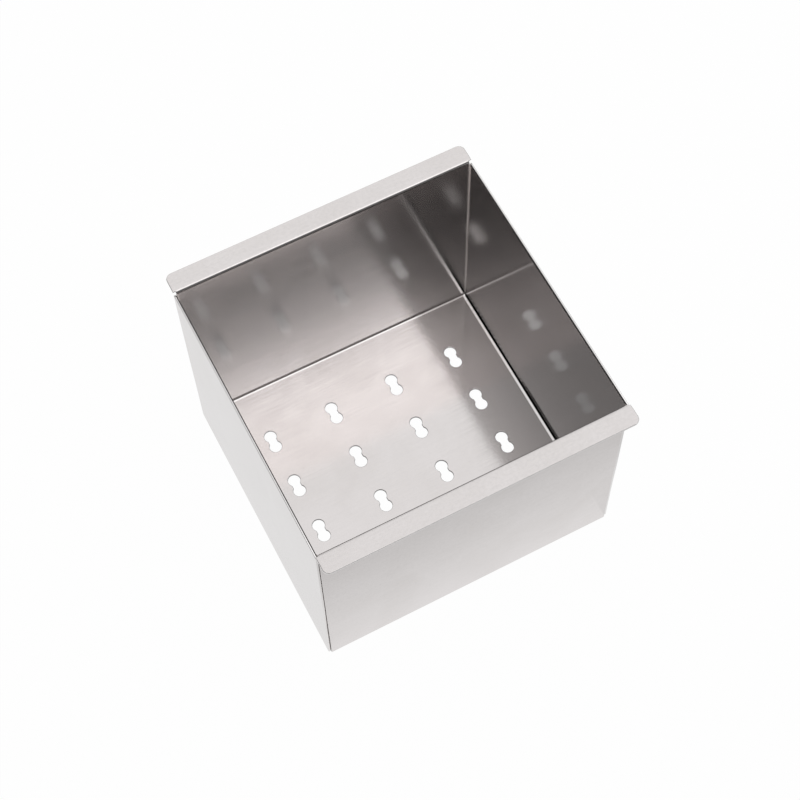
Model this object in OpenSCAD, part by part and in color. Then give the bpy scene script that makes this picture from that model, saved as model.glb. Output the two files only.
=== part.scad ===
// Stainless sheet cheese mold: an open box with a perforated floor and two turned-out rims.
// One long strip is folded four times into rim, wall, floor, wall and rim. Two flat side
// panels close its ends, and three hollow welds in the inside corners hold each panel.
// The origin is on the resting surface, below the middle of the floor. X runs from the
// left panel to the right one, Y from the front wall to the back wall, and Z is up.

/* [Box] */
// Inside width, between the two side panels
inner_w = 120; // [80:1:200]
// Inside depth, between the front and back walls
inner_d = 114; // [80:1:200]
// Inside height, from the floor up to the top of the rims' sheet
inner_h = 98; // [50:1:160]
// Thickness of the sheet that the strip and the panels are cut from
sheet_t = 1; // [0.8:0.1:1.5]
// Inside radius of the folds between the floor and the two walls
floor_fold_r = 1; // [1:0.1:4]

/* [Rims] */
// Reach of a rim, from the inner face of its wall to its outer edge
rim_reach = 8.4; // [6:0.1:16]
// Radius on the hollow side of the fold that turns a wall into its rim
rim_fold_r = 0.5; // [0.3:0.1:1.5]
// Radius of the two outer corners of a rim
rim_corner_r = 2.5; // [0.5:0.1:4]

/* [Side panels] */
// Relief between the top edge of a side panel and the folds of the rims
panel_relief = 0.2; // [0.1:0.1:3]
// Step from the outer faces of the strip back to the edges of a side panel
seam_step = 0.5; // [0.2:0.1:0.7]

/* [Welds] */
// Leg of the welds in the inside corners
weld_leg = 0.6; // [0.4:0.1:0.9]
// Radius of the hollow face of the welds, larger than their leg
weld_face_r = 0.9; // [0.9:0.1:4]

/* [Drain holes] */
// Number of holes from the left to the right
hole_columns = 4; // [2:1:5]
// Number of holes from the front to the back
hole_rows = 4; // [2:1:5]
// Distance from a side panel to the middle of the nearest holes
hole_margin_x = 18.75; // [8:0.25:30]
// Distance from the front or back wall to the middle of the nearest holes
hole_margin_y = 24.1; // [10:0.1:30]
// Diameter of the two round ends of a hole
lobe_d = 5.1; // [4:0.1:7]
// Distance between the centres of the two round ends
lobe_spacing = 5; // [3:0.1:7]
// Width of the neck that joins the two round ends
neck_w = 3.5; // [2:0.1:5]

/* [Hidden] */

$fn = 64;
cut_clear = 1;
sheet_colour = [0.78, 0.78, 0.77];
weld_colour = [0.68, 0.67, 0.65];

half_w = inner_w / 2;
half_d = inner_d / 2;
rim_w = inner_w + 2 * sheet_t;
floor_half_d = half_d - floor_fold_r;
wall_base_z = sheet_t + floor_fold_r;
rim_fold_z = inner_h - rim_fold_r;
rim_flat_y = half_d + sheet_t + rim_fold_r;
rim_edge_y = half_d + rim_reach;
panel_top_z = rim_fold_z - panel_relief;
panel_half_d = half_d + sheet_t - seam_step;
panel_corner_r = floor_fold_r + sheet_t - seam_step;
weld_face_c = (weld_leg + sqrt(2 * pow(weld_face_r, 2) - pow(weld_leg, 2))) / 2;
column_pitch = (inner_w - 2 * hole_margin_x) / (hole_columns - 1);
row_pitch = (inner_d - 2 * hole_margin_y) / (hole_rows - 1);

// Cross-section of a quarter fold of the sheet about the origin, on the +X +Y side
module fold_section(inside_r) {
    outside_r = inside_r + sheet_t;
    intersection() {
        difference() {
            circle(r = outside_r);
            circle(r = inside_r);
        }
        square(outside_r + cut_clear);
    }
}

// Carries a cross-section drawn in depth and height along the X axis
module along_width(width) {
    rotate([90, 0, 90]) linear_extrude(width, center = true) children();
}

// Cross-section of the fold between the front wall and its rim
module rim_fold_section() {
    translate([-rim_flat_y, rim_fold_z]) fold_section(rim_fold_r);
}

// Cross-section of the strip: floor, the two folds beside it, walls, and the folds of the rims
module strip_section() {
    translate([-floor_half_d, 0]) square([2 * floor_half_d, sheet_t]);
    for (flip = [0, 1]) mirror([flip, 0]) {
        translate([-floor_half_d, wall_base_z]) rotate(180) fold_section(floor_fold_r);
        translate([-half_d - sheet_t, wall_base_z]) square([sheet_t, rim_fold_z - wall_base_z]);
        rim_fold_section();
    }
}

// Outline of the front rim from above, as wide as the box outside, with two rounded outer corners
module rim_outline() {
    round_x = rim_w / 2 - rim_corner_r;
    round_y = rim_corner_r - rim_edge_y;
    translate([-rim_w / 2, round_y]) square([rim_w, -round_y]);
    translate([-round_x, -rim_edge_y]) square([2 * round_x, rim_edge_y]);
    for (side = [-1, 1]) translate([side * round_x, round_y]) circle(r = rim_corner_r);
}

// Front rim with its fold, which runs past the ends of the wall and over the side panels
module front_rim() {
    intersection() {
        along_width(rim_w + 2 * cut_clear) {
            rim_fold_section();
            translate([-rim_edge_y - cut_clear, inner_h])
                square([rim_edge_y + cut_clear - rim_flat_y, sheet_t]);
        }
        linear_extrude(inner_h + sheet_t + cut_clear) rim_outline();
    }
}

// One punched drain hole: two round ends, one behind the other, joined by a narrower neck
module drain_hole() {
    cut_h = sheet_t + 2 * cut_clear;
    for (side = [-1, 1]) translate([0, side * lobe_spacing / 2, -cut_clear]) cylinder(h = cut_h, d = lobe_d);
    translate([-neck_w / 2, -lobe_spacing / 2, -cut_clear]) cube([neck_w, lobe_spacing, cut_h]);
}

// The long strip: floor with its drain holes, front and back walls, and both rims
module folded_body() color(sheet_colour) {
    difference() {
        along_width(inner_w) strip_section();
        for (column = [0 : hole_columns - 1], row = [0 : hole_rows - 1]) {
            hole_x = hole_margin_x - half_w + column * column_pitch;
            hole_y = hole_margin_y - half_d + row * row_pitch;
            translate([hole_x, hole_y, 0]) drain_hole();
        }
    }
    for (turn = [0, 180]) rotate(turn) front_rim();
}

// Flat panel that covers the right end of the folded strip, set back from its outer faces
module side_panel() color(sheet_colour)
    translate([half_w + sheet_t / 2, 0, 0]) along_width(sheet_t) {
        round_y = panel_half_d - panel_corner_r;
        round_z = seam_step + panel_corner_r;
        translate([-panel_half_d, round_z]) square([2 * panel_half_d, panel_top_z - round_z]);
        translate([-round_y, seam_step]) square([2 * round_y, panel_corner_r]);
        for (side = [-1, 1]) translate([side * round_y, round_z]) circle(r = panel_corner_r);
    }

// Cross-section of a weld in a corner at the origin, with a hollow face
module weld_section() {
    difference() {
        square(weld_face_c);
        translate([weld_face_c, weld_face_c]) circle(r = weld_face_r);
    }
}

// Upright weld in the front left inside corner
module front_weld() color(weld_colour)
    translate([-half_w, -half_d, wall_base_z]) linear_extrude(panel_top_z - wall_base_z) weld_section();

// Weld along the left edge of the floor, with a quarter turn up each fold
module floor_weld() color(weld_colour) {
    translate([-half_w, floor_half_d, sheet_t])
        rotate([90, 0, 0]) linear_extrude(2 * floor_half_d) weld_section();
    for (flip = [0, 1]) mirror([0, flip, 0])
        translate([-half_w, -floor_half_d, wall_base_z]) rotate([90, 0, 90]) rotate(180)
            rotate_extrude(angle = 90) translate([floor_fold_r, 0]) mirror([1, 0]) weld_section();
}

module left_side_panel() mirror([1, 0, 0]) side_panel();
module right_side_panel() side_panel();
module left_front_weld() front_weld();
module left_floor_weld() floor_weld();
module left_back_weld() mirror([0, 1, 0]) front_weld();
module right_front_weld() mirror([1, 0, 0]) front_weld();
module right_floor_weld() mirror([1, 0, 0]) floor_weld();
module right_back_weld() rotate(180) front_weld();

folded_body();
left_side_panel();
right_side_panel();
left_front_weld();
left_floor_weld();
left_back_weld();
right_front_weld();
right_floor_weld();
right_back_weld();
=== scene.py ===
"""Stainless sheet cheese mold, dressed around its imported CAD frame.

The three sheets are built flat, with holes and rounded edges, and the long one is then folded.
The six welds are swept along the inside corners. Sizes come from the frame where it holds them.
"""
import math

import bpy
from mathutils import Matrix, Vector
from mathutils.geometry import delaunay_2d_cdt


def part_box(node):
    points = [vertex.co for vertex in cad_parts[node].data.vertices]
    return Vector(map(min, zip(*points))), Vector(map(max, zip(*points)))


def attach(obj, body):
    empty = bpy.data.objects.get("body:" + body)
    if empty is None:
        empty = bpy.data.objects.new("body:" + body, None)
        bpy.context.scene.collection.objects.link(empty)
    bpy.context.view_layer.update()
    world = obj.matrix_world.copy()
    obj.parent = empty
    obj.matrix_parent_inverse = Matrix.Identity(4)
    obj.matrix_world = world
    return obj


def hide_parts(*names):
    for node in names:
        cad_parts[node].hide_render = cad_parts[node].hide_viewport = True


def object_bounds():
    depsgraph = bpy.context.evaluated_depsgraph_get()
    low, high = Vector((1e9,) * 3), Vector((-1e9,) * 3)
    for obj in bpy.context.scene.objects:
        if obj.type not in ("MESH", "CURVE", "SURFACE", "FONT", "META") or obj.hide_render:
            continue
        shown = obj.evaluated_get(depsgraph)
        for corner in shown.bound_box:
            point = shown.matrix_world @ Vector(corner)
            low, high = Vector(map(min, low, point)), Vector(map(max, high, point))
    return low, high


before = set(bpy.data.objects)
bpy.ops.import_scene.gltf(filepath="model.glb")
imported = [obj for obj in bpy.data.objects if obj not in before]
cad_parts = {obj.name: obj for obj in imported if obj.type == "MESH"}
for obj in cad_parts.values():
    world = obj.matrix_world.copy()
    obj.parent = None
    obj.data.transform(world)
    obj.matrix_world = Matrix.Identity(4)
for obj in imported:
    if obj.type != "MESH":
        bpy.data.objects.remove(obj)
cad_low, cad_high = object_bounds()

# Sizes read from the frame, in metres
panel_low, panel_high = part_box("right_side_panel")
weld_low, weld_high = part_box("left_front_weld")
SHEET = panel_high.x - panel_low.x
HALF_W = panel_low.x
HALF_D = -weld_low.y
PANEL_TOP = panel_high.z
PANEL_FOOT = panel_low.z
PANEL_HALF_D = panel_high.y
WELD_LEG = weld_high.x - weld_low.x
RIM_EDGE = cad_high.y
RIM_TOP = cad_high.z
FLOOR_FOLD_R = weld_low.z - SHEET

# Folds that the frame's boxes don't hold, in metres and radians: a wider curve lies beside each sharp bend
FLOOR_LEAD_R = 0.0018
FLOOR_LEAD_TURN = math.radians(28)
FLOOR_CREASE_R = 0.00025
RIM_LEAD_R = 0.010
RIM_LEAD_TURN = math.radians(14)
RIM_FOLD_R = 0.00025
RIM_CORNER_R = 0.0025
RIM_NOTCH = 0.0008

# Seam at the panels' edges, which is filled towards the top, in metres
SEAM_FILL = 0.0003
SEAM_FILL_FROM = 0.030
SEAM_FILL_TO = 0.048

# Welds, in metres; the toe on the floor fades as the weld climbs the fold
WELD_FACE_R = 0.0009
FLOOR_WELD_LEG = 0.7 * WELD_LEG
CREASE_WELD_LEG = 0.8 * FLOOR_CREASE_R
TOE_W = 0.0010
TOE_RISE = 0.00015
TOE_FADE = 0.9

# Drain holes, in metres
HOLE_COLUMNS = 4
HOLE_ROWS = 4
HOLE_MARGIN_X = 0.01875
HOLE_MARGIN_Y = 0.0241
LOBE_R = 0.00255
LOBE_SPACING = 0.005
NECK_W = 0.0035

# Rounding of the sheets' edges, in metres
PANEL_EDGE_R = 0.00075
STRIP_EDGE_R = 0.0002
BACK_EDGE_R = 0.0002
HOLE_EDGE_R = 0.00015

# Fineness of the meshes; fold lines end a few edge radii, the line inset, from the sheet's edge
EDGE_STEPS = 4
FOLD_STEPS = 14
CORNER_STEPS = 10
LOBE_STEPS = 22
WELD_FACE_STEPS = 10
TOE_STEPS = (0.15, 0.6, 1.0)
WELD_RUN_STEP = 0.002
LINE_INSET = 4
SAME_PLACE = 1e-9

# Colours of the steel
SHEET_CLEAN = (0.764, 0.732, 0.727)
SHEET_DULL = (0.724, 0.691, 0.681)
# Lighter colour of rounded edges and weld toes, partly wear and partly a painted highlight
WORN_EDGE_AND_HIGHLIGHT = (0.880, 0.862, 0.856)
WELD_CLEAN = (0.640, 0.605, 0.590)
WELD_DULL = (0.540, 0.505, 0.485)
# Near-black colour of the floor welds, along the floor's side edges and up the front and back folds
DARK_WELD_CLEAN = (0.200, 0.182, 0.170)
DARK_WELD_DULL = (0.150, 0.134, 0.125)

# Finishes: roughness from gloss to matt, and depths of grain, waves and weld ripples in metres
SHEET_ROUGH = (0.09, 0.14)
SHEET_GRAIN = 1.0e-6
SHEET_WAVES = 6e-5
PANEL_ROUGH = (0.06, 0.12)
PANEL_GRAIN = 0.6e-6
PANEL_WAVES = 4e-5
WELD_ROUGH = (0.12, 0.24)
DARK_WELD_ROUGH = (0.05, 0.10)
WELD_GRAIN = 1.0e-6
WELD_WAVES = 2e-5
WELD_RIPPLES = 1.0e-5

# How far mirrored light is stretched on the strip's floor and walls, and the direction in full turns
FLOOR_STRETCH = 0.0
WALL_STRETCH = 0.25
STRETCH_TURN = 0.25

# Noise on the sheets: cells per metre across and along, detail and roughness, turn in radians
PEBBLES = ((700, 900), 2, 0.6)
GRAIN = ((45, 2600), 4, 0.6)
STREAKS = ((14, 420), 3, 0.6)
CLOUDS = ((38, 30), 3, 0.55)
CLOUD_WARP = 0.6
WAVES = ((11, 15), 1, 0.4)
SCRATCHES = ((30, 1500), 2, 0.5, 0.42)
CROSS_SCRATCHES = ((26, 1300), 2, 0.5, 2.25)
RIPPLES = {"Scale": 130.0, "Distortion": 2.5, "Detail": 2.0, "Detail Scale": 1.5}

# Heights of the noise between which a pattern goes from nothing to full
CLOUD_TONE_BAND = (0.35, 0.70)
STREAK_TONE_BAND = (0.35, 0.75)
GRAIN_TONE_BAND = (0.35, 0.65)
STRIP_SPECK_BAND = (0.40, 0.64)
PANEL_SPECK_BAND = (0.42, 0.66)
GRAIN_ROUGH_BAND = (0.35, 0.68)
CLOUD_ROUGH_BAND = (0.40, 0.75)
SCRATCH_BAND = (0.70, 0.78)
# Band of the edge mark for the lighter edge colour, which is partly a painted highlight
EDGE_WEAR_AND_HIGHLIGHT_BAND = (0.2, 0.9)
EDGE_ROUGH_BAND = (0.2, 1.0)

# What the patterns do at full: share of the other tone, added roughness, depth in grain depths
STREAK_TONE = 0.25
GRAIN_TONE = 0.12
PANEL_SPECKS = 0.10
FLOOR_SPECKS = 0.06
WALL_SPECKS = 0.16
SPECK_SHADE = 0.8
# Share of the lighter colour on edges and weld toes, partly wear and partly a painted highlight
EDGE_WEAR_AND_HIGHLIGHT = 0.8
CLOUD_ROUGH = 0.03
SCRATCH_ROUGH = 0.10
EDGE_ROUGH = 0.08
STREAK_DEPTH = 2
PEBBLE_DEPTH = 5

# The white stage floor, and how far it glows: to the camera, in mirrors around the box, where the glow
# dims farther in front as painted shade, and below it, where the lower glow is a painted shadow of the box
STAGE_REACH = 20.0
STAGE_DROP = 0.0002
STAGE_WHITE = (0.95, 0.95, 0.95, 1)
STAGE_ROUGH = 0.9
CAMERA_GLOW = 0.985
BESIDE_GLOW = 0.84
# Glow in mirrors close in front of the box and farther out; the drop between them is painted shade
NEAR_GLOW = 0.93
FRONT_GLOW = 0.68
FRONT_FADE = 0.035
# Painted shadow under the box in mirrors: glow over the front half, rising to the back row of holes
SHADOW_GLOW_FRONT = 0.23
SHADOW_GLOW_BACK = 0.40
WORLD_GLOW = 0.05

# Panes of the overhead softbox, which fades to its left and front: left, front and back end, radiance
SOFTBOX_PANES = (
    (-0.300, -0.312, 0.80, 0.17),
    (-0.300, -0.312, -0.05, 0.17),
    (-0.300, -0.050, 0.09, 0.42),
    (-0.155, -0.425, 0.80, 0.05),
    (-0.155, -0.312, 0.80, 0.18),
    (-0.155, -0.425, -0.385, 0.13),
    (-0.100, -0.425, -0.407, 0.08),
    (-0.100, -0.407, -0.385, 0.16),
    (-0.100, -0.385, 0.80, 0.21),
    (-0.100, -0.365, 0.80, 0.32),
    (-0.100, -0.348, -0.05, 0.14),
    (-0.100, -0.348, -0.255, 0.50),
)
SOFTBOX_RIGHT = 0.75
SOFTBOX_Z = 0.735
PANE_GAP = 0.004

# A small overhead lamp to the left, and two upright ones: place along Y, height and radiance
LEFT_GLOW_X = (-0.50, -0.30)
LEFT_GLOW_Y = (-0.30, -0.05)
LEFT_GLOW = 0.80
FRONT_FILL = (-1.1, 1.25, 0.12)
BACK_FILL = (1.1, 0.85, 0.8)
FILL_W = 1.6
FILL_FOOT = 0.05

# Camera, solved from the photograph's perspective
CAMERA_PLACE = Vector((-0.13357, -0.27520, 0.66399))
CAMERA_AIM = Vector((0.00191, 0.00325, 0.05000))
CAMERA_ROLL = math.radians(-1.776)
CAMERA_LENS = 81.884


def turned(angle):
    """The unit direction at an angle."""
    return Vector((math.cos(angle), math.sin(angle)))


def arc(centre, radius, start, end, steps):
    """Points on an arc from one angle to another, both ends included."""
    angles = [start + (end - start) * i / steps for i in range(steps + 1)]
    return [centre + radius * turned(a) for a in angles]


class FoldedStrip:
    """Where a point of the flat strip lies once the strip is folded into floor, walls and rims."""

    def __init__(self):
        self.low_lead_r = FLOOR_LEAD_R + SHEET / 2
        self.low_r = FLOOR_CREASE_R + SHEET / 2
        self.low_y = HALF_D - FLOOR_CREASE_R
        lead_offset = FLOOR_LEAD_R - FLOOR_CREASE_R
        self.wall_z = SHEET + FLOOR_LEAD_R - lead_offset * math.cos(FLOOR_LEAD_TURN)
        self.floor_end = self.low_y - lead_offset * math.sin(FLOOR_LEAD_TURN)
        self.crease_start = self.floor_end + self.low_lead_r * FLOOR_LEAD_TURN
        self.high_r = RIM_FOLD_R + SHEET / 2
        self.rim_z = RIM_TOP - SHEET / 2
        lead_drop = RIM_LEAD_R * (1 - math.cos(RIM_LEAD_TURN))
        self.high_z = self.rim_z - lead_drop - self.high_r * math.cos(RIM_LEAD_TURN)
        self.high_y = HALF_D + SHEET / 2 + self.high_r
        self.flat_y = self.high_y + (RIM_LEAD_R - self.high_r) * math.sin(RIM_LEAD_TURN)
        self.wall_start = self.crease_start + self.low_r * (math.pi / 2 - FLOOR_LEAD_TURN)
        self.wall_end = self.wall_start + self.high_z - self.wall_z
        self.lead_start = self.wall_end + self.high_r * (math.pi / 2 - RIM_LEAD_TURN)
        self.rim_start = self.lead_start + RIM_LEAD_R * RIM_LEAD_TURN
        self.rim_end = self.rim_start + RIM_EDGE - self.flat_y

    def lines(self):
        """Distances along half the strip at which the folds are cut into steps."""
        bends = ((self.floor_end, self.crease_start), (self.crease_start, self.wall_start),
                 (self.wall_end, self.lead_start), (self.lead_start, self.rim_start))
        cuts = {a + (b - a) * i / FOLD_STEPS for a, b in bends for i in range(FOLD_STEPS + 1)}
        return sorted(cuts)

    def section(self, along):
        """Point in depth and height on the middle of the sheet, and the angle of the sheet there."""
        s = abs(along)
        if s <= self.floor_end:
            return s, SHEET / 2, 0.0
        if s <= self.crease_start:
            angle = (s - self.floor_end) / self.low_lead_r
            depth = self.floor_end + self.low_lead_r * math.sin(angle)
            return depth, SHEET / 2 + self.low_lead_r * (1 - math.cos(angle)), angle
        if s <= self.wall_start:
            angle = FLOOR_LEAD_TURN + (s - self.crease_start) / self.low_r
            depth = self.low_y + self.low_r * math.sin(angle)
            return depth, self.wall_z - self.low_r * math.cos(angle), angle
        if s <= self.wall_end:
            return HALF_D + SHEET / 2, self.wall_z + s - self.wall_start, math.pi / 2
        if s <= self.lead_start:
            angle = math.pi / 2 - (s - self.wall_end) / self.high_r
            depth = self.high_y - self.high_r * math.sin(angle)
            return depth, self.high_z + self.high_r * math.cos(angle), angle
        if s <= self.rim_start:
            angle = (self.rim_start - s) / RIM_LEAD_R
            depth = self.flat_y - RIM_LEAD_R * math.sin(angle)
            return depth, self.rim_z - RIM_LEAD_R * (1 - math.cos(angle)), angle
        return self.flat_y + s - self.rim_start, self.rim_z, 0.0

    def place(self, across, along, height):
        """A point given across and along the flat strip and off its middle, on the box."""
        depth, z, angle = self.section(along)
        side = 1 if along >= 0 else -1
        depth -= height * math.sin(angle)
        return Vector((across, side * depth, z + height * math.cos(angle)))

    def turn(self, normal, along):
        """A direction given across, along and off the sheet, turned with the fold."""
        angle = self.section(along)[2] * (1 if along >= 0 else -1)
        c, s = math.cos(angle), math.sin(angle)
        return Vector((normal.x, normal.y * c - normal.z * s, normal.y * s + normal.z * c))


class FlatPanel:
    """Where a point of a flat side panel lies on the box; side is -1 on the left, 1 on the right."""

    def __init__(self, side):
        self.side = side

    def place(self, across, along, height):
        """A point given across and up the panel and off its middle, on the box."""
        return Vector((self.side * (HALF_W + SHEET / 2 - height), -self.side * across, along))

    def turn(self, normal, along):
        """A direction given across, up and off the panel, turned with it."""
        return Vector((-self.side * normal.z, -self.side * normal.x, normal.y))


def corner_steps(loop):
    """The mitred step inwards and the outward normal at each point of a loop, material on its left."""
    steps = []
    for before, here, after in zip(loop[-1:] + loop[:-1], loop, loop[1:] + loop[:1]):
        a = (here - before).normalized()
        b = (after - here).normalized()
        left = Vector((-a.y - b.y, a.x + b.x))
        steps.append((left / (1 + a.dot(b)), -left.normalized()))
    return steps


def inside(loop, point):
    """Whether a point lies inside a loop."""
    hit = False
    for a, b in zip(loop, loop[1:] + loop[:1]):
        if (a.y > point.y) != (b.y > point.y):
            if point.x < a.x + (point.y - a.y) / (b.y - a.y) * (b.x - a.x):
                hit = not hit
    return hit


def sheet_piece(name, outline, holes, fold, edge_r, lines=()):
    """A closed sheet with rounded edges, from a flat outline and holes, laid on the box by fold.

    The outline runs anticlockwise and the holes clockwise. The faces are cut at each of the lines,
    which are distances along the sheet, between the outline's two points there if it has them.
    """
    vertices, normals, flats, faces, edge = [], [], [], [], []

    def add(flat, height, normal, rounding=0.0):
        vertices.append(fold.place(flat.x, flat.y, height))
        normals.append(fold.turn(normal, flat.y))
        flats.append(flat)
        edge.append(rounding)
        return len(vertices) - 1

    face_loops, face_points, face_edges = [], [], []
    rims = {1: [], -1: []}
    edges = [(outline, edge_r, BACK_EDGE_R), *((hole, HOLE_EDGE_R, HOLE_EDGE_R) for hole in holes)]
    for loop, face_r, back_r in edges:
        steps = corner_steps(loop)
        rings = []
        for side, radius in ((1, face_r), (-1, back_r)):
            angles = [math.pi / 2 * i / EDGE_STEPS for i in range(EDGE_STEPS + 1)]
            for angle in angles if side > 0 else reversed(angles):
                c, s = math.cos(angle), math.sin(angle)
                inset = radius * (1 - s)
                height = side * (SHEET / 2 - radius * (1 - c))
                ring = []
                for point, (step, out) in zip(loop, steps):
                    normal = Vector((out.x * s, out.y * s, side * c))
                    ring.append(add(point + step * inset, height, normal, s))
                rings.append(ring)
        count = len(loop)
        for upper, lower in zip(rings, rings[1:]):
            for i in range(count):
                j = (i + 1) % count
                faces.append((upper[i], lower[i], lower[j], upper[j]))
        rims[1] += rings[0]
        rims[-1] += rings[-1]
        first = len(face_points)
        inner = [point + step * face_r for point, (step, out) in zip(loop, steps)]
        face_loops.append(inner)
        face_points += inner
        face_edges += [(first + i, first + (i + 1) % count) for i in range(count)]

    for line in lines:
        ends = [i for i in range(len(outline)) if abs(outline[i].y - line) < SAME_PLACE]
        if len(ends) != 2:
            ends = []
            for across in (HALF_W - LINE_INSET * edge_r, LINE_INSET * edge_r - HALF_W):
                ends.append(len(face_points))
                face_points.append(Vector((across, line)))
                for side in (1, -1):
                    rims[side].append(add(face_points[-1], side * SHEET / 2, Vector((0, 0, side))))
        face_edges.append(tuple(ends))
    filled = delaunay_2d_cdt(face_points, face_edges, [], 0, SAME_PLACE)
    source = [origin[0] for origin in filled[3]]
    for triangle in filled[2]:
        middle = sum((filled[0][i] for i in triangle), Vector((0, 0))) / 3
        if inside(face_loops[0], middle) and not any(inside(hole, middle) for hole in face_loops[1:]):
            corners = [source[i] for i in triangle]
            faces.append(tuple(rims[1][i] for i in corners))
            faces.append(tuple(rims[-1][i] for i in reversed(corners)))
    return mesh_piece(name, vertices, normals, flats, faces, edge)


def mesh_piece(name, vertices, normals, flats, faces, edge, flat_faces=()):
    """A smooth mesh object with its own normals, and its flat layout as UVs in metres.

    The edge values mark rounded edges and weld toes, which the materials lighten as wear and as a painted
    highlight. Faces listed in flat_faces keep their own flat normal.
    """
    mesh = bpy.data.meshes.new(name)
    mesh.from_pydata(vertices, [], faces)
    layer = mesh.uv_layers.new(name="sheet")
    mark = mesh.attributes.new("edge", "FLOAT", "POINT")
    mark.data.foreach_set("value", edge)
    mesh.shade_smooth()
    flat_faces = set(flat_faces)
    corner_normals = [None] * len(mesh.loops)
    for face in mesh.polygons:
        for i in face.loop_indices:
            vertex = mesh.loops[i].vertex_index
            layer.data[i].uv = flats[vertex]
            is_flat = face.index in flat_faces
            corner_normals[i] = face.normal if is_flat else normals[vertex].normalized()
    mesh.normals_split_custom_set(corner_normals)
    piece = bpy.data.objects.new(name, mesh)
    bpy.context.scene.collection.objects.link(piece)
    return piece


def drain_hole(centre):
    """Clockwise outline of one punched hole: two round ends and a narrower neck."""
    mouth = math.asin(NECK_W / 2 / LOBE_R)
    upper = centre + Vector((0, LOBE_SPACING / 2))
    lower = centre - Vector((0, LOBE_SPACING / 2))
    down = -math.pi / 2
    loop = arc(upper, LOBE_R, down - mouth, down + mouth - 2 * math.pi, LOBE_STEPS)
    loop += arc(lower, LOBE_R, math.pi / 2 - mouth, mouth - 1.5 * math.pi, LOBE_STEPS)
    return loop


def strip_outline(strip):
    """Anticlockwise outline of the flat strip, with a point at each fold line."""
    rim_half_w = HALF_W + SHEET
    round_s = strip.rim_end - RIM_CORNER_R
    notch = strip.wall_end + RIM_NOTCH
    side = [s for s in strip.lines() if s < notch] + [notch]
    fold = [notch] + [s for s in strip.lines() if s > notch + 2 * STRIP_EDGE_R]
    quarter = [Vector((HALF_W, s)) for s in side] + [Vector((rim_half_w, s)) for s in fold]
    corner = Vector((rim_half_w - RIM_CORNER_R, round_s))
    quarter += arc(corner, RIM_CORNER_R, 0, math.pi / 2, CORNER_STEPS)
    upper = quarter + [Vector((-p.x, p.y)) for p in reversed(quarter)]
    return upper + [-p for p in upper]


def panel_outline():
    """Anticlockwise outline of a side panel, with round corners at the foot."""
    radius = FLOOR_FOLD_R + SHEET - PANEL_FOOT
    round_y = PANEL_HALF_D - radius
    round_z = PANEL_FOOT + radius
    loop = arc(Vector((-round_y, round_z)), radius, math.pi, 1.5 * math.pi, CORNER_STEPS)
    loop += arc(Vector((round_y, round_z)), radius, 1.5 * math.pi, 2 * math.pi, CORNER_STEPS)
    tip = PANEL_EDGE_R + BACK_EDGE_R
    filled = PANEL_HALF_D + SEAM_FILL
    loop += [Vector((PANEL_HALF_D, SEAM_FILL_FROM)), Vector((filled, SEAM_FILL_TO))]
    loop += arc(Vector((filled - tip, PANEL_TOP - tip)), tip, 0, math.pi / 2, EDGE_STEPS)
    loop += arc(Vector((tip - filled, PANEL_TOP - tip)), tip, math.pi / 2, math.pi, EDGE_STEPS)
    loop += [Vector((-filled, SEAM_FILL_TO)), Vector((-PANEL_HALF_D, SEAM_FILL_FROM))]
    return loop


def weld_face(leg, toe):
    """Points across a weld's hollow face, off the strip and from the panel, with their normals.

    The face ends on the strip in a low toe, its size given as a share, or straight if that is None.
    """
    centre = (leg + math.sqrt(2 * WELD_FACE_R ** 2 - leg ** 2)) / 2
    start = math.atan2(-centre, leg - centre) % (2 * math.pi)
    end = math.atan2(leg - centre, -centre) % (2 * math.pi)
    points = arc(Vector((centre, centre)), WELD_FACE_R, start, end, WELD_FACE_STEPS)
    face = [(p, (Vector((centre, centre)) - p).normalized()) for p in points]
    if toe is None:
        return face
    rise, width = toe * TOE_RISE, toe * TOE_W
    face = [(Vector((rise + p.x * (1 - rise / leg), p.y)), n) for p, n in face]
    slope = Vector((width, rise)).normalized()
    return face + [(Vector((rise * (1 - t), leg + width * t)), slope) for t in TOE_STEPS]


def weld_piece(name, path, side, turn_back):
    """A closed weld swept along a path of (point, inward normal, leg, toe) on the strip's inner face."""
    vertices, normals, flats, faces, hidden, edge = [], [], [], [], [], []
    ring_size = len(weld_face(*path[0][2:])) + 1
    travelled = 0.0
    away = Vector((-side, 0, 0))
    for i, (point, off, leg, toe) in enumerate(path):
        if i:
            travelled += (point - path[i - 1][0]).length
        corner = Vector((side * HALF_W, point.x * turn_back, point.y))
        up = Vector((0, off.x * turn_back, off.y))
        for p, n in weld_face(leg, toe):
            vertices.append(corner + up * p.x + away * p.y)
            normals.append(up * n.x + away * n.y)
            flats.append(Vector((travelled, p.y - p.x)))
            # The toe is marked as an edge, so it takes the lighter edge colour, a painted highlight beside
            # the dark bead
            edge.append(1.0 if p.y > leg else 0.0)
        vertices.append(corner)
        normals.append(-(up + away))
        flats.append(Vector((travelled, -2 * leg)))
        edge.append(0.0)
    last = len(path) - 1
    first_run = path[1][0] - path[0][0]
    turned_left = first_run.x * path[0][1].y - first_run.y * path[0][1].x
    flip = (side * turned_left > 0) == (turn_back > 0)
    for i in range(last):
        for k in range(ring_size):
            a, b = i * ring_size + k, i * ring_size + (k + 1) % ring_size
            quad = (a, b, b + ring_size, a + ring_size)
            if k >= ring_size - 2:
                hidden.append(len(faces))
            faces.append(quad[::-1] if flip else quad)
    cap = tuple(range(ring_size))
    far = tuple(last * ring_size + k for k in range(ring_size))
    for ring, reverse in ((cap, False), (far, True)):
        hidden.append(len(faces))
        faces.append(ring[::-1] if reverse == flip else ring)
    return mesh_piece(name, vertices, normals, flats, faces, edge, hidden)


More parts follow.
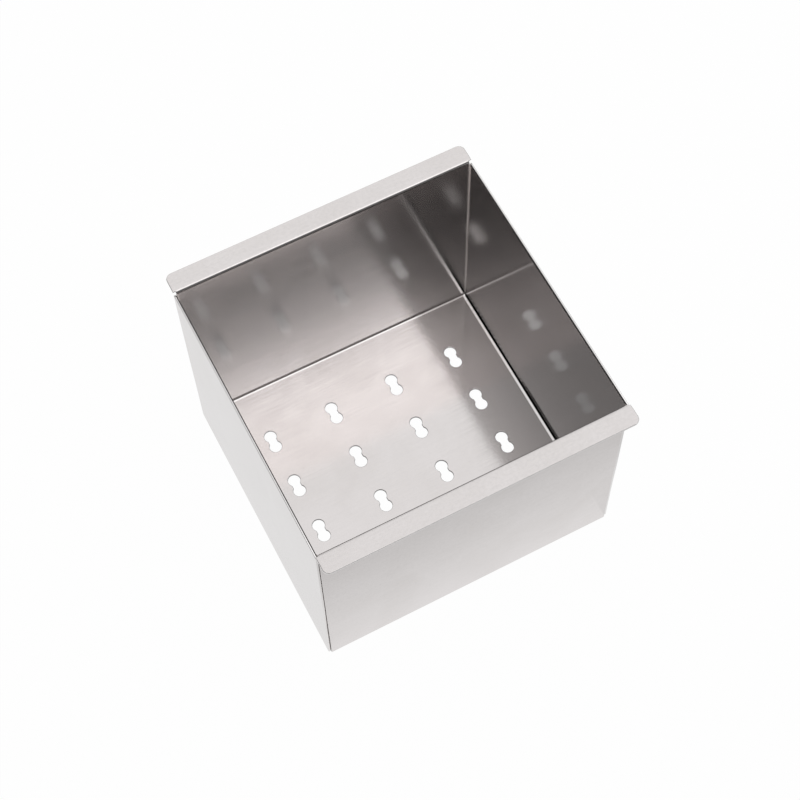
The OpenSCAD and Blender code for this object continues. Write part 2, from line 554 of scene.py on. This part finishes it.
def upright_path(strip):
    """Path of an upright weld, in depth and height, on the front wall's inner face."""
    steps = round((PANEL_TOP - strip.wall_z) / WELD_RUN_STEP)
    heights = [strip.wall_z + (PANEL_TOP - strip.wall_z) * i / steps for i in range(steps + 1)]
    return [(Vector((-HALF_D, z)), Vector((1, 0)), WELD_LEG, None) for z in heights]


def floor_path(strip):
    """Path of a floor weld: down the front fold, along the floor and up the back fold."""
    steps = round(2 * strip.floor_end / WELD_RUN_STEP)
    bend = [s for s in strip.lines() if s <= strip.wall_start]
    flat = [strip.floor_end * (2 * i / steps - 1) for i in range(1, steps)]
    lead = strip.crease_start - strip.floor_end
    path = []
    for s in [-s for s in reversed(bend)] + flat + bend:
        place = strip.place(0, s, SHEET / 2)
        off = strip.turn(Vector((0, 0, 1)), s)
        past = max(0, abs(s) - strip.floor_end)
        leg = FLOOR_WELD_LEG + (CREASE_WELD_LEG - FLOOR_WELD_LEG) * min(1, past / lead)
        climb = past / (strip.wall_start - strip.floor_end)
        path.append((place.yz, off.yz, leg, 1 - TOE_FADE * climb))
    return path


def add_node(tree, kind, values=(), **settings):
    """A shader node with its settings, and its inputs' values by name."""
    node = tree.nodes.new("ShaderNode" + kind)
    for key, value in settings.items():
        setattr(node, key, value)
    for key, value in dict(values).items():
        node.inputs[key].default_value = value
    return node


def noise(tree, coordinates, cells, detail, roughness, turn=0.0, warp=0.0):
    """Noise on the flat sheet, from 0 to 1, with its cells per metre across and along."""
    place = add_node(tree, "Mapping", {"Rotation": (0, 0, turn), "Scale": (*cells, 1)})
    values = {"Scale": 1.0, "Detail": detail, "Roughness": roughness, "Distortion": warp}
    pattern = add_node(tree, "TexNoise", values)
    tree.links.new(coordinates, place.inputs["Vector"])
    tree.links.new(place.outputs["Vector"], pattern.inputs["Vector"])
    return pattern.outputs["Fac"]


def spread(tree, value, low, high, bottom, top):
    """A value mapped from low..high to bottom..top, and held there beyond."""
    limits = {"From Min": low, "From Max": high, "To Min": bottom, "To Max": top}
    ramp = add_node(tree, "MapRange", limits)
    tree.links.new(value, ramp.inputs["Value"])
    return ramp.outputs["Result"]


def size_of(tree, value):
    """A value without its sign."""
    node = add_node(tree, "Math", operation="ABSOLUTE")
    tree.links.new(value, node.inputs[0])
    return node.outputs["Value"]


def combine(tree, operation, first, second):
    """Two values put together by a math operation."""
    node = add_node(tree, "Math", operation=operation)
    tree.links.new(first, node.inputs[0])
    tree.links.new(second, node.inputs[1])
    return node.outputs["Value"]


def mix_colour(tree, factor, first, second):
    """A colour between two; either may be a socket or three numbers."""
    node = add_node(tree, "Mix", data_type="RGBA")
    tree.links.new(factor, node.inputs["Factor"])
    for name, colour in (("A", first), ("B", second)):
        socket = next(i for i in node.inputs if i.name == name and i.type == "RGBA")
        if isinstance(colour, tuple):
            socket.default_value = (*colour, 1)
        else:
            tree.links.new(colour, socket)
    return next(o for o in node.outputs if o.type == "RGBA")


def raised(tree, height, depth, below=None):
    """A bump of a given depth in metres for heights from 0 to 1, on top of the bump below it."""
    bump = add_node(tree, "Bump", {"Strength": 1.0, "Distance": depth})
    tree.links.new(height, bump.inputs["Height"])
    if below:
        tree.links.new(below, bump.inputs["Normal"])
    return bump.outputs["Normal"]


def steel(name, clean, dull, rough, grain_depth, wave_depth, ripple_depth=0.0, is_strip=False):
    """Stainless sheet with rolled grain, faint waves, smudges, fine scratches and worn edges, which are
    lightened also as a painted highlight.

    On the strip the mirrored light is stretched and the specks are stronger up the walls.
    """
    material = bpy.data.materials.new(name)
    material.use_nodes = True
    tree = material.node_tree
    shader = tree.nodes["Principled BSDF"]
    shader.inputs["Metallic"].default_value = 1.0
    shader.inputs["Anisotropic Rotation"].default_value = STRETCH_TURN
    tangent = add_node(tree, "Tangent", direction_type="UV_MAP", uv_map="sheet").outputs["Tangent"]
    tree.links.new(tangent, shader.inputs["Tangent"])
    sheet = add_node(tree, "UVMap", uv_map="sheet").outputs["UV"]
    edge = add_node(tree, "Attribute", attribute_name="edge").outputs["Fac"]
    pebbles = noise(tree, sheet, *PEBBLES)
    if is_strip:
        place = add_node(tree, "SeparateXYZ")
        tree.links.new(sheet, place.inputs["Vector"])
        away = size_of(tree, place.outputs["Y"])
        stretch = spread(tree, away, HALF_D - FLOOR_FOLD_R, HALF_D + FLOOR_FOLD_R,
                         FLOOR_STRETCH, WALL_STRETCH)
        tree.links.new(stretch, shader.inputs["Anisotropic"])
        share = spread(tree, away, HALF_D, HALF_D + PANEL_TOP / 2, FLOOR_SPECKS, WALL_SPECKS)
        specks = combine(tree, "MULTIPLY", spread(tree, pebbles, *STRIP_SPECK_BAND, 0, 1), share)
    else:
        specks = spread(tree, pebbles, *PANEL_SPECK_BAND, 0, PANEL_SPECKS)
    grain = noise(tree, sheet, *GRAIN)
    streaks = noise(tree, sheet, *STREAKS)
    clouds = noise(tree, sheet, *CLOUDS, warp=CLOUD_WARP)
    waves = noise(tree, sheet, *WAVES)
    scratches = combine(tree, "MAXIMUM",
                        spread(tree, noise(tree, sheet, *SCRATCHES), *SCRATCH_BAND, 0, 1),
                        spread(tree, noise(tree, sheet, *CROSS_SCRATCHES), *SCRATCH_BAND, 0, 1))

    shade = tuple(SPECK_SHADE * c for c in dull)
    tone = mix_colour(tree, spread(tree, clouds, *CLOUD_TONE_BAND, 0, 1), clean, dull)
    tone = mix_colour(tree, spread(tree, streaks, *STREAK_TONE_BAND, 0, STREAK_TONE), tone, dull)
    tone = mix_colour(tree, spread(tree, grain, *GRAIN_TONE_BAND, 0, GRAIN_TONE), tone, shade)
    tone = mix_colour(tree, specks, tone, shade)
    # Rounded edges and weld toes take the lighter colour: partly wear, partly a painted highlight
    tone = mix_colour(tree, spread(tree, edge, *EDGE_WEAR_AND_HIGHLIGHT_BAND, 0, EDGE_WEAR_AND_HIGHLIGHT), tone, WORN_EDGE_AND_HIGHLIGHT)
    tree.links.new(tone, shader.inputs["Base Color"])

    matt = combine(tree, "ADD", spread(tree, grain, *GRAIN_ROUGH_BAND, *rough),
                   spread(tree, clouds, *CLOUD_ROUGH_BAND, 0, CLOUD_ROUGH))
    matt = combine(tree, "ADD", matt, spread(tree, scratches, 0, 1, 0, SCRATCH_ROUGH))
    matt = combine(tree, "ADD", matt, spread(tree, edge, *EDGE_ROUGH_BAND, 0, EDGE_ROUGH))
    tree.links.new(matt, shader.inputs["Roughness"])

    normal = raised(tree, waves, wave_depth)
    normal = raised(tree, streaks, STREAK_DEPTH * grain_depth, normal)
    normal = raised(tree, grain, grain_depth, normal)
    normal = raised(tree, pebbles, PEBBLE_DEPTH * grain_depth, normal)
    if ripple_depth:
        ripples = add_node(tree, "TexWave", RIPPLES)
        tree.links.new(sheet, ripples.inputs["Vector"])
        normal = raised(tree, ripples.outputs["Fac"], ripple_depth, normal)
    tree.links.new(normal, shader.inputs["Normal"])
    return material


def finish(piece, nodes, material):
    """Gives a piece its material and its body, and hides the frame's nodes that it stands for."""
    piece.data.materials.append(material)
    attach(piece, "root")
    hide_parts(*nodes)


def build_object():
    """The folded strip, the two side panels and the six welds."""
    sheet_steel = steel("sheet_steel", SHEET_CLEAN, SHEET_DULL, SHEET_ROUGH,
                        SHEET_GRAIN, SHEET_WAVES, is_strip=True)
    panel_steel = steel("panel_steel", SHEET_CLEAN, SHEET_DULL, PANEL_ROUGH,
                        PANEL_GRAIN, PANEL_WAVES)
    weld_steel = steel("weld_steel", WELD_CLEAN, WELD_DULL, WELD_ROUGH,
                       WELD_GRAIN, WELD_WAVES, WELD_RIPPLES)
    # Near-black steel for the floor welds
    dark_weld_steel = steel("dark_weld_steel", DARK_WELD_CLEAN, DARK_WELD_DULL, DARK_WELD_ROUGH,
                        WELD_GRAIN, WELD_WAVES, WELD_RIPPLES)
    strip = FoldedStrip()
    pitch_x = 2 * (HALF_W - HOLE_MARGIN_X) / (HOLE_COLUMNS - 1)
    pitch_y = 2 * (HALF_D - HOLE_MARGIN_Y) / (HOLE_ROWS - 1)
    holes = []
    for column in range(HOLE_COLUMNS):
        for row in range(HOLE_ROWS):
            x = HOLE_MARGIN_X - HALF_W + column * pitch_x
            y = HOLE_MARGIN_Y - HALF_D + row * pitch_y
            holes.append(drain_hole(Vector((x, y))))
    lines = [s * side for s in strip.lines() for side in (1, -1)]
    body = sheet_piece("folded_body_sheet", strip_outline(strip), holes, strip, STRIP_EDGE_R, lines)
    finish(body, ["folded_body"], sheet_steel)
    runs = (("front", upright_path(strip), 1, weld_steel),
            ("back", upright_path(strip), -1, weld_steel),
            ("floor", floor_path(strip), 1, dark_weld_steel))
    for word, side in (("left", -1), ("right", 1)):
        panel = sheet_piece(word + "_side_sheet", panel_outline(), [], FlatPanel(side), PANEL_EDGE_R)
        finish(panel, [word + "_side_panel"], panel_steel)
        for run, path, turn_back, material in runs:
            weld = weld_piece(word + "_" + run + "_bead", path, side, turn_back)
            finish(weld, [word + "_" + run + "_weld"], material)


def build_camera():
    """The camera, at the photograph's viewing angle."""
    data = bpy.data.cameras.new("camera")
    data.lens = CAMERA_LENS
    camera = bpy.data.objects.new("camera", data)
    bpy.context.scene.collection.objects.link(camera)
    look = (CAMERA_AIM - CAMERA_PLACE).to_track_quat("-Z", "Y").to_matrix().to_4x4()
    camera.rotation_mode = "QUATERNION"
    camera.rotation_quaternion = (look @ Matrix.Rotation(CAMERA_ROLL, 4, "Z")).to_quaternion()
    camera.location = CAMERA_PLACE
    bpy.context.scene.camera = camera


def stage_material():
    """White to the camera with the shadow kept, and a glow in mirrors that is lower below the box as a
    painted shadow, and dims away from its front as painted shade.
    """
    material = bpy.data.materials.new("floor_white")
    material.use_nodes = True
    tree = material.node_tree
    shader = tree.nodes["Principled BSDF"]
    shader.inputs["Base Color"].default_value = STAGE_WHITE
    shader.inputs["Roughness"].default_value = STAGE_ROUGH
    shader.inputs["Specular IOR Level"].default_value = 0.0
    path = add_node(tree, "LightPath").outputs
    mirrored = combine(tree, "MAXIMUM", path["Is Glossy Ray"], path["Is Transmission Ray"])
    spot = add_node(tree, "SeparateXYZ")
    tree.links.new(add_node(tree, "NewGeometry").outputs["Position"], spot.inputs["Vector"])
    out_x = size_of(tree, spot.outputs["X"])
    out_y = size_of(tree, spot.outputs["Y"])
    beside = combine(tree, "MAXIMUM", spread(tree, out_x, HALF_W, HALF_W + SHEET, 0, 1),
                     spread(tree, out_y, HALF_D, HALF_D + SHEET, 0, 1))
    # Painted shadow: the glow in mirrors is low below the box, rising towards its back
    painted_shadow_glow = spread(tree, spot.outputs["Y"], 0, HALF_D - HOLE_MARGIN_Y, SHADOW_GLOW_FRONT, SHADOW_GLOW_BACK)
    front = HALF_D + SHEET
    # Painted shade: in front of the box the glow in mirrors dims from NEAR_GLOW to FRONT_GLOW
    around = spread(tree, spot.outputs["Y"], -front - FRONT_FADE, -front, FRONT_GLOW, NEAR_GLOW)
    around = combine(tree, "MINIMUM", around,
                     spread(tree, out_x, HALF_W, HALF_W + SHEET, 1, BESIDE_GLOW))
    level = add_node(tree, "MapRange")
    for socket, value in (("Value", beside), ("To Min", painted_shadow_glow), ("To Max", around)):
        tree.links.new(value, level.inputs[socket])
    glow = add_node(tree, "Emission", {"Color": (1, 1, 1, 1)})
    strength = combine(tree, "MAXIMUM", path["Is Camera Ray"], level.outputs["Result"])
    tree.links.new(strength, glow.inputs["Strength"])
    seen = spread(tree, path["Is Camera Ray"], 0, 1, 0, CAMERA_GLOW)
    mix = add_node(tree, "MixShader")
    tree.links.new(combine(tree, "MAXIMUM", seen, mirrored), mix.inputs["Fac"])
    tree.links.new(shader.outputs["BSDF"], mix.inputs[1])
    tree.links.new(glow.outputs["Emission"], mix.inputs[2])
    tree.links.new(mix.outputs["Shader"], tree.nodes["Material Output"].inputs["Surface"])
    return material


def flat_lamp(name, width, height, radiance):
    """An area lamp whose face has a given radiance."""
    lamp = bpy.data.lights.new(name, "AREA")
    lamp.shape = "RECTANGLE"
    lamp.size = width
    lamp.size_y = height
    lamp.energy = radiance * math.pi * width * height
    holder = bpy.data.objects.new(name, lamp)
    bpy.context.scene.collection.objects.link(holder)
    return holder


def overhead_lamp(name, reach_x, reach_y, height, radiance):
    """A flat lamp that faces down, given by its reach along X and Y."""
    holder = flat_lamp(name, reach_x[1] - reach_x[0], reach_y[1] - reach_y[0], radiance)
    holder.location = (sum(reach_x) / 2, sum(reach_y) / 2, height)


def upright_lamp(name, y, height, radiance):
    """An upright lamp in front of the box or behind it, which faces it."""
    holder = flat_lamp(name, FILL_W, height, radiance)
    holder.location = (0, y, height / 2 + FILL_FOOT)
    holder.rotation_euler = Vector((0, y, 0)).to_track_quat("Z", "Y").to_euler()


def build_stage():
    """The white floor, the dim world and the lamps."""
    mesh = bpy.data.meshes.new("floor")
    r = STAGE_REACH
    mesh.from_pydata([(-r, -r, 0), (r, -r, 0), (r, r, 0), (-r, r, 0)], [], [(0, 1, 2, 3)])
    floor = bpy.data.objects.new("floor", mesh)
    floor.location.z = -STAGE_DROP
    bpy.context.scene.collection.objects.link(floor)
    mesh.materials.append(stage_material())

    world = bpy.data.worlds.new("studio")
    bpy.context.scene.world = world
    world.use_nodes = True
    background = world.node_tree.nodes["Background"]
    background.inputs["Strength"].default_value = WORLD_GLOW
    background.inputs["Color"].default_value = (1, 1, 1, 1)

    for i, (left, front, back, radiance) in enumerate(SOFTBOX_PANES):
        height = SOFTBOX_Z + i * PANE_GAP
        overhead_lamp("softbox_%d" % i, (left, SOFTBOX_RIGHT), (front, back), height, radiance)
    overhead_lamp("left_glow", LEFT_GLOW_X, LEFT_GLOW_Y, SOFTBOX_Z, LEFT_GLOW)
    upright_lamp("front_fill", *FRONT_FILL)
    upright_lamp("back_fill", *BACK_FILL)


bpy.context.scene.view_settings.view_transform = "Standard"
build_object()
build_camera()
build_stage()
